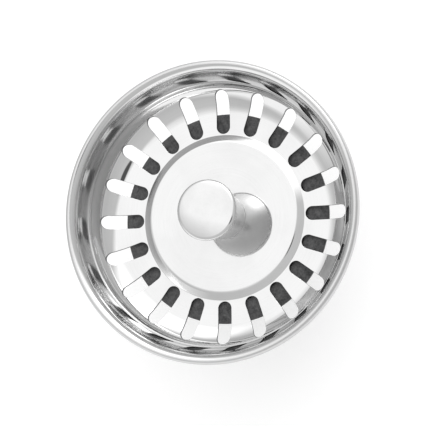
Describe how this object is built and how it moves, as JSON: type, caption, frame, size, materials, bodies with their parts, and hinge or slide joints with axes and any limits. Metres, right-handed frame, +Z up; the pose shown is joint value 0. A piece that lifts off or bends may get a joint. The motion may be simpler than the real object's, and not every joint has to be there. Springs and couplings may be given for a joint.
{
  "type": "sink strainer",
  "caption": "Round pressed-steel sink basket strainer with slotted ring, mushroom pull knob, rubber seal and a post with a spring ball catch underneath.",
  "frame": {"origin": "centre of the rim's lower edge, which sits on the drain's flange", "axes": "+Z up along the basket's axis through the knob; the catch balls lie on +X and -X"},
  "size_m": [0.0796, 0.0796, 0.0419],
  "materials": {
    "polished_steel": "mirror-polished stainless steel",
    "satin_steel": "plain pressed stainless steel",
    "turned_steel": "turned stainless steel",
    "plain_steel": "plain stainless fastener",
    "ball_steel": "ground steel ball",
    "spring_steel": "drawn spring wire",
    "rubber": "matte moulded rubber"
  },
  "bodies": {
    "strainer": {"basket": "polished_steel", "pull_knob": "polished_steel", "knob_stud": "plain_steel", "centre_gasket": "rubber", "seal_plate": "satin_steel", "rubber_seal": "rubber", "clamp_washer": "plain_steel", "lock_washer": "plain_steel", "clamp_nut": "plain_steel", "catch_post": "turned_steel", "catch_spring": "spring_steel"},
    "left_ball": {"catch_ball_left": "ball_steel"},
    "right_ball": {"catch_ball_right": "ball_steel"}
  },
  "joints": [
    {"name": "left_ball_press", "type": "slide", "parent": "strainer", "child": "left_ball", "axis": [1, 0, 0], "range_m": [0, 0.00045], "stiffness_N_per_m": 1200, "springref_m": -0.001, "deforming": ["catch_spring"]},
    {"name": "right_ball_press", "type": "slide", "parent": "strainer", "child": "right_ball", "axis": [-1, 0, 0], "range_m": [0, 0.00045], "stiffness_N_per_m": 1200, "springref_m": -0.001, "deforming": ["catch_spring"]}
  ]
}
